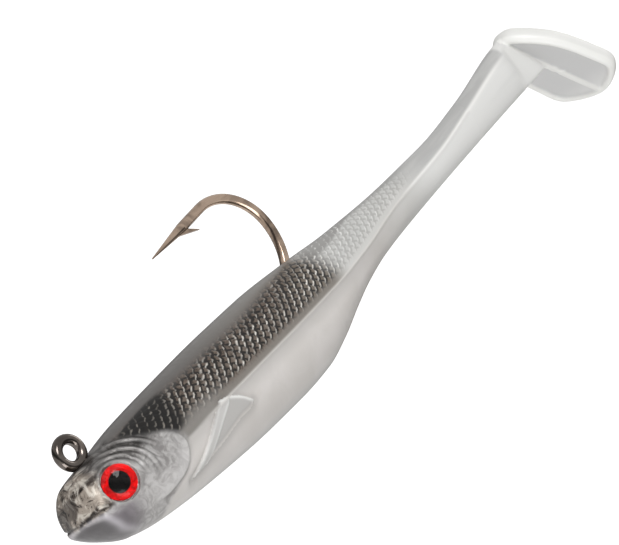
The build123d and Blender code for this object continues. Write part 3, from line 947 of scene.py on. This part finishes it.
def print_material(name, dark, light):
    g = Graph(name, Specular_IOR_Level=0.02)
    speck, cloud = g.noise(2400, 3, 0.4), g.noise(700, 4, 1.5)
    base = g.mix(g.ramp(cloud, 0.3, 0.7), linear(dark), linear(light))
    g.put("Base Color", g.mix(g.ramp(speck, 0.55, 0.8, 0.0, 0.35), base, linear(light)))
    g.put("Roughness", g.ramp(cloud, 0.3, 0.7, 0.45, 0.6))
    g.bump(speck, 0.00002, 0.4)
    return g.material


def dome_material():
    g = Graph("clear_dome", IOR=1.05, Transmission_Weight=1.0, Coat_Weight=0.40, Coat_Roughness=0.02, Coat_IOR=1.45)
    haze = g.noise(600, 3)
    g.put("Base Color", g.mix(g.ramp(haze, 0.3, 0.7), linear((252, 252, 252)), linear((246, 246, 248))))
    g.put("Roughness", g.ramp(haze, 0.3, 0.7, 0.01, 0.04))
    return g.material


def dress(obj, material):
    """Gives an object one material and no other."""
    obj.data.materials.clear()
    obj.data.materials.append(material)


for skin, finish in (
    (back_skin, "smoke_soft_plastic"), (belly_skin, "pearl_soft_plastic"),
    (rear_skin, "clear_soft_plastic"), (tail_skin, "clear_soft_plastic_tail"),
):
    dress(skin, skin_material(finish))
NODE_MATERIALS = {
    "jig_hook": wire_material(),
    "lead_head": lead_material(),
    "flash_foil": foil_material(),
    "iris": print_material("red_print", (150, 0, 1), (232, 3, 5)),
    "pupil": print_material("black_print", (2, 2, 2), (5, 4, 4)),
    "eye_dome": dome_material(),
}
SOFT_NODES = {
    "back_pour": back_skin, "belly_pour": belly_skin,
    "rear_body": rear_skin, "tail_stem": rear_skin, "paddle_tail": rear_skin,
}
for dome in domes:
    dress(dome, NODE_MATERIALS["eye_dome"])
for node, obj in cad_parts.items():
    for ending, material in NODE_MATERIALS.items():
        if node.endswith(ending):
            dress(obj, material)
    if node in SOFT_NODES:
        dress(obj, SOFT_NODES[node].data.materials[0])

# ---- camera: a long lens on the lure's left, rolled so that the lure lies on the diagonal ----
AZIMUTH, ELEVATION, ROLL = (math.radians(v) for v in (-42.3729, 4.4902, -40.1847))
VIEW_DISTANCE = 400.0
TARGET = Vector((49.0661, 0, -4.6468))
LENS = 176.3
SENSOR = 36.0
toward = Vector((
    math.sin(AZIMUTH) * math.cos(ELEVATION), -math.cos(AZIMUTH) * math.cos(ELEVATION), math.sin(ELEVATION)
))
level = Vector((math.cos(AZIMUTH), math.sin(AZIMUTH), 0))
upright = toward.cross(level)
cam_right = math.cos(ROLL) * level + math.sin(ROLL) * upright
cam_up = -math.sin(ROLL) * level + math.cos(ROLL) * upright
camera = bpy.data.objects.new("camera", bpy.data.cameras.new("camera"))
bpy.context.scene.collection.objects.link(camera)
turn = Matrix((cam_right, cam_up, toward)).transposed().to_4x4()
camera.matrix_world = Matrix.Translation((TARGET + toward * VIEW_DISTANCE) * MM) @ turn
camera.data.lens = LENS
camera.data.sensor_width = SENSOR
camera.data.clip_start = 0.01
camera.data.clip_end = 50
bpy.context.scene.camera = camera
bpy.context.scene.view_settings.view_transform = "Standard"

# ---- stage and light ----
FLOOR_Z = -0.075
FLOOR_HALF = 20.0
LURE_MIDDLE = (0.045, 0, -0.006)


def softbox(name, direction, distance, size, power):
    """A rectangular lamp that faces the middle of the lure from a direction."""
    lamp = bpy.data.lights.new(name, "AREA")
    lamp.shape = "RECTANGLE"
    lamp.size, lamp.size_y = size
    lamp.energy = power
    obj = bpy.data.objects.new(name, lamp)
    bpy.context.scene.collection.objects.link(obj)
    way = Vector(direction).normalized()
    obj.location = Vector(LURE_MIDDLE) + way * distance
    obj.rotation_euler = way.to_track_quat("Z", "Y").to_euler()
    return obj


floor_mesh = bpy.data.meshes.new("floor")
corners = [(-1, -1), (1, -1), (1, 1), (-1, 1)]
floor_mesh.from_pydata([(x * FLOOR_HALF, y * FLOOR_HALF, FLOOR_Z) for x, y in corners], [], [(0, 1, 2, 3)])
floor = bpy.data.objects.new("floor", floor_mesh)
bpy.context.scene.collection.objects.link(floor)
pale = Graph("pale_floor", Roughness=0.9)
pale.put("Base Color", pale.mix(pale.noise(40, 2), linear((244, 244, 244)), linear((248, 248, 248))))
pale.put("Emission Color", (1.0, 1.0, 1.0, 1.0))
pale.put("Emission Strength", 0.75)
floor.data.materials.append(pale.material)
floor.visible_diffuse = False
floor.visible_glossy = False

key_way = toward * 0.79 + cam_up * 0.61
fill_way = toward * 0.8 + cam_right * 0.35 - cam_up * 0.65
rim_way = -toward * 0.5 + cam_up * 0.7 + cam_right * 0.5
softbox("key", key_way, 0.45, (0.17, 0.17), 0.85)
softbox("fill", fill_way, 0.6, (0.45, 0.45), 1.7)
softbox("rim", rim_way, 0.5, (0.3, 0.2), 0.3)

# The room: bright at both ends of the view's upright, dark in a band between, and white where the camera sees it.
world = bpy.data.worlds.new("studio")
bpy.context.scene.world = world
world.use_nodes = True
wt = world.node_tree
room = wt.nodes["Background"]
way = wt.nodes.new("ShaderNodeTexCoord")
toward_top = wt.nodes.new("ShaderNodeVectorMath")
toward_top.operation = "DOT_PRODUCT"
toward_top.inputs[1].default_value = cam_up
wt.links.new(way.outputs["Generated"], toward_top.inputs[0])
bands = wt.nodes.new("ShaderNodeValToRGB")
lift = wt.nodes.new("ShaderNodeMapRange")
lift.inputs["From Min"].default_value = -1.0
wt.links.new(toward_top.outputs["Value"], lift.inputs["Value"])
wt.links.new(lift.outputs["Result"], bands.inputs["Fac"])
BANDS = [(0.0, 0.85), (0.34, 0.85), (0.44, 0.12), (0.58, 0.12), (0.68, 0.62), (1.0, 0.62)]
for i, (at, grey) in enumerate(BANDS):
    stop = bands.color_ramp.elements[i] if i < 2 else bands.color_ramp.elements.new(at)
    stop.position = at
    stop.color = (grey, grey * 0.995, grey * 0.985, 1.0)
wt.links.new(bands.outputs["Color"], room.inputs["Color"])
room.inputs["Strength"].default_value = 1.0
seen = wt.nodes.new("ShaderNodeBackground")
seen.inputs["Color"].default_value = (1.0, 1.0, 1.0, 1.0)
seen.inputs["Strength"].default_value = 1.1
either = wt.nodes.new("ShaderNodeMixShader")
ray = wt.nodes.new("ShaderNodeLightPath")
wt.links.new(ray.outputs["Is Camera Ray"], either.inputs[0])
wt.links.new(room.outputs[0], either.inputs[1])
wt.links.new(seen.outputs[0], either.inputs[2])
wt.links.new(either.outputs[0], wt.nodes["World Output"].inputs["Surface"])
